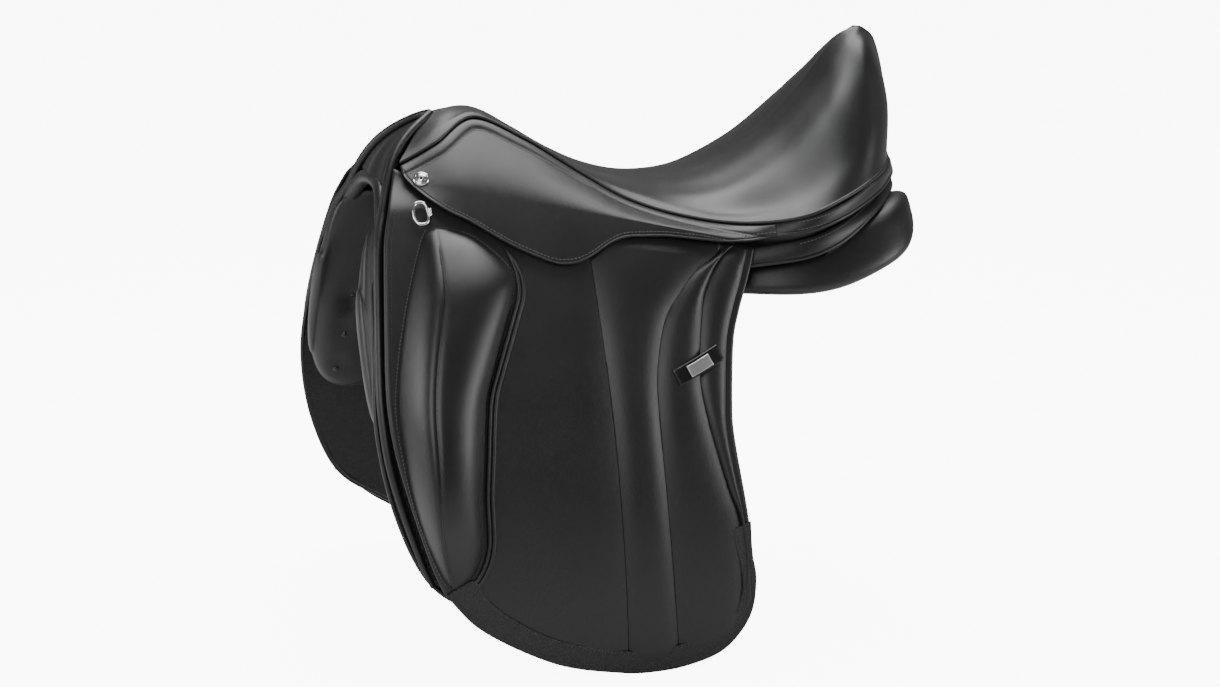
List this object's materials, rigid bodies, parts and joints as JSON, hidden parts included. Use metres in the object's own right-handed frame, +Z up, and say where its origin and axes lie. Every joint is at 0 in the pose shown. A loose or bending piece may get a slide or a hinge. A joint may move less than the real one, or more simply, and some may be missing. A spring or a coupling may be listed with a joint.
{
  "type": "english dressage saddle",
  "caption": "Black leather dressage saddle with deep seat, high cantle, straight lifting flaps, outside thigh blocks and stuffed panels.",
  "frame": {"origin": "centre of the saddle's bounding box in plan, at the height of the bottom of the flaps", "axes": "+Z up, +X from the pommel (front) to the cantle (rear), -Y the near (left) side of the horse"},
  "size_m": [0.517, 0.4736, 0.5185],
  "materials": {
    "seat_leather": "smooth fine-grained black leather, satin",
    "leather": "smooth fine-grained black leather, satin, with stitched edges",
    "block_leather": "smooth black leather over a moulded block",
    "panel_leather": "soft black leather over a stuffed panel",
    "grained_leather": "black leather with a coarse pebbled grain",
    "strap_leather": "glossy black strap leather",
    "foam": "foam seat padding",
    "timber": "laminated beech",
    "web": "woven jute webbing",
    "steel": "forged steel",
    "chrome": "polished",
    "plate": "satin metal plate, plain"
  },
  "bodies": {
    "root": {"tree": "timber", "head_plate": "steel", "seat_web_long": "web", "seat_web_front": "web", "seat_web_rear": "web", "seat_foam": "foam", "seat_cover": "seat_leather", "head_facing": "leather", "panel_bridge": "panel_leather", "skirt_tail": "leather", "panel_band": "leather", "stirrup_bar_left": "steel", "panel_left": "panel_leather", "sweat_flap_left": "grained_leather", "skirt_yoke_left": "leather", "pommel_stud_left": "chrome", "front_roll_left": "leather", "stirrup_bar_right": "steel", "panel_right": "panel_leather", "sweat_flap_right": "grained_leather", "skirt_yoke_right": "leather", "pommel_stud_right": "chrome", "front_roll_right": "leather"},
    "flap_left": {"flap_left": "leather", "flap_border_left": "leather", "thigh_block_left": "block_leather", "keeper_strap_left": "strap_leather", "keeper_plate_left": "plate", "dee_staple_left": "chrome"},
    "skirt_left": {"skirt_left": "leather"},
    "dee_ring_left": {"dee_ring_left": "chrome"},
    "bar_latch_left": {"bar_latch_left": "steel"},
    "front_billet_left": {"front_billet_left": "strap_leather"},
    "rear_billet_left": {"rear_billet_left": "strap_leather"},
    "flap_right": {"flap_right": "leather", "flap_border_right": "leather", "thigh_block_right": "block_leather", "keeper_strap_right": "strap_leather", "keeper_plate_right": "plate", "dee_staple_right": "chrome"},
    "skirt_right": {"skirt_right": "leather"},
    "dee_ring_right": {"dee_ring_right": "chrome"},
    "bar_latch_right": {"bar_latch_right": "steel"},
    "front_billet_right": {"front_billet_right": "strap_leather"},
    "rear_billet_right": {"rear_billet_right": "strap_leather"}
  },
  "joints": [
    {"name": "flap_lift_left", "type": "hinge", "parent": "root", "child": "flap_left", "pos_m": [-0.22205, -0.0766, 0.4181], "axis": [-0.9614, 0.1876, 0.2012], "range_deg": [0, 75]},
    {"name": "skirt_lift_left", "type": "hinge", "parent": "flap_left", "child": "skirt_left", "pos_m": [-0.22205, -0.0766, 0.4181], "axis": [-0.9614, 0.1876, 0.2012], "range_deg": [0, 60]},
    {"name": "dee_swing_left", "type": "hinge", "parent": "flap_left", "child": "dee_ring_left", "pos_m": [-0.19755, -0.09516, 0.3891], "axis": [0.0243, 0.6069, 0.7944], "range_deg": [0, 140]},
    {"name": "bar_latch_drop_left", "type": "hinge", "parent": "root", "child": "bar_latch_left", "pos_m": [-0.06955, -0.066, 0.3941], "axis": [0, 1, 0], "range_deg": [0, 50], "stiffness_Nm_per_rad": 0.02, "springref_deg": -34.38},
    {"name": "front_billet_swing_left", "type": "hinge", "parent": "root", "child": "front_billet_left", "pos_m": [-0.12705, -0.09445, 0.3501], "axis": [0, 1, 0], "range_deg": [-6, 6]},
    {"name": "rear_billet_swing_left", "type": "hinge", "parent": "root", "child": "rear_billet_left", "pos_m": [-0.01705, -0.09885, 0.3501], "axis": [0, 1, 0], "range_deg": [-6, 6]},
    {"name": "flap_lift_right", "type": "hinge", "parent": "root", "child": "flap_right", "pos_m": [-0.22205, 0.0766, 0.4181], "axis": [0.9614, 0.1876, -0.2012], "range_deg": [0, 75]},
    {"name": "skirt_lift_right", "type": "hinge", "parent": "flap_right", "child": "skirt_right", "pos_m": [-0.22205, 0.0766, 0.4181], "axis": [0.9614, 0.1876, -0.2012], "range_deg": [0, 60]},
    {"name": "dee_swing_right", "type": "hinge", "parent": "flap_right", "child": "dee_ring_right", "pos_m": [-0.19755, 0.09516, 0.3891], "axis": [-0.0243, 0.6069, -0.7944], "range_deg": [0, 140]},
    {"name": "bar_latch_drop_right", "type": "hinge", "parent": "root", "child": "bar_latch_right", "pos_m": [-0.06955, 0.066, 0.3941], "axis": [0, 1, 0], "range_deg": [0, 50], "stiffness_Nm_per_rad": 0.02, "springref_deg": -34.38},
    {"name": "front_billet_swing_right", "type": "hinge", "parent": "root", "child": "front_billet_right", "pos_m": [-0.12705, 0.09445, 0.3501], "axis": [0, 1, 0], "range_deg": [-6, 6]},
    {"name": "rear_billet_swing_right", "type": "hinge", "parent": "root", "child": "rear_billet_right", "pos_m": [-0.01705, 0.09885, 0.3501], "axis": [0, 1, 0], "range_deg": [-6, 6]}
  ]
}
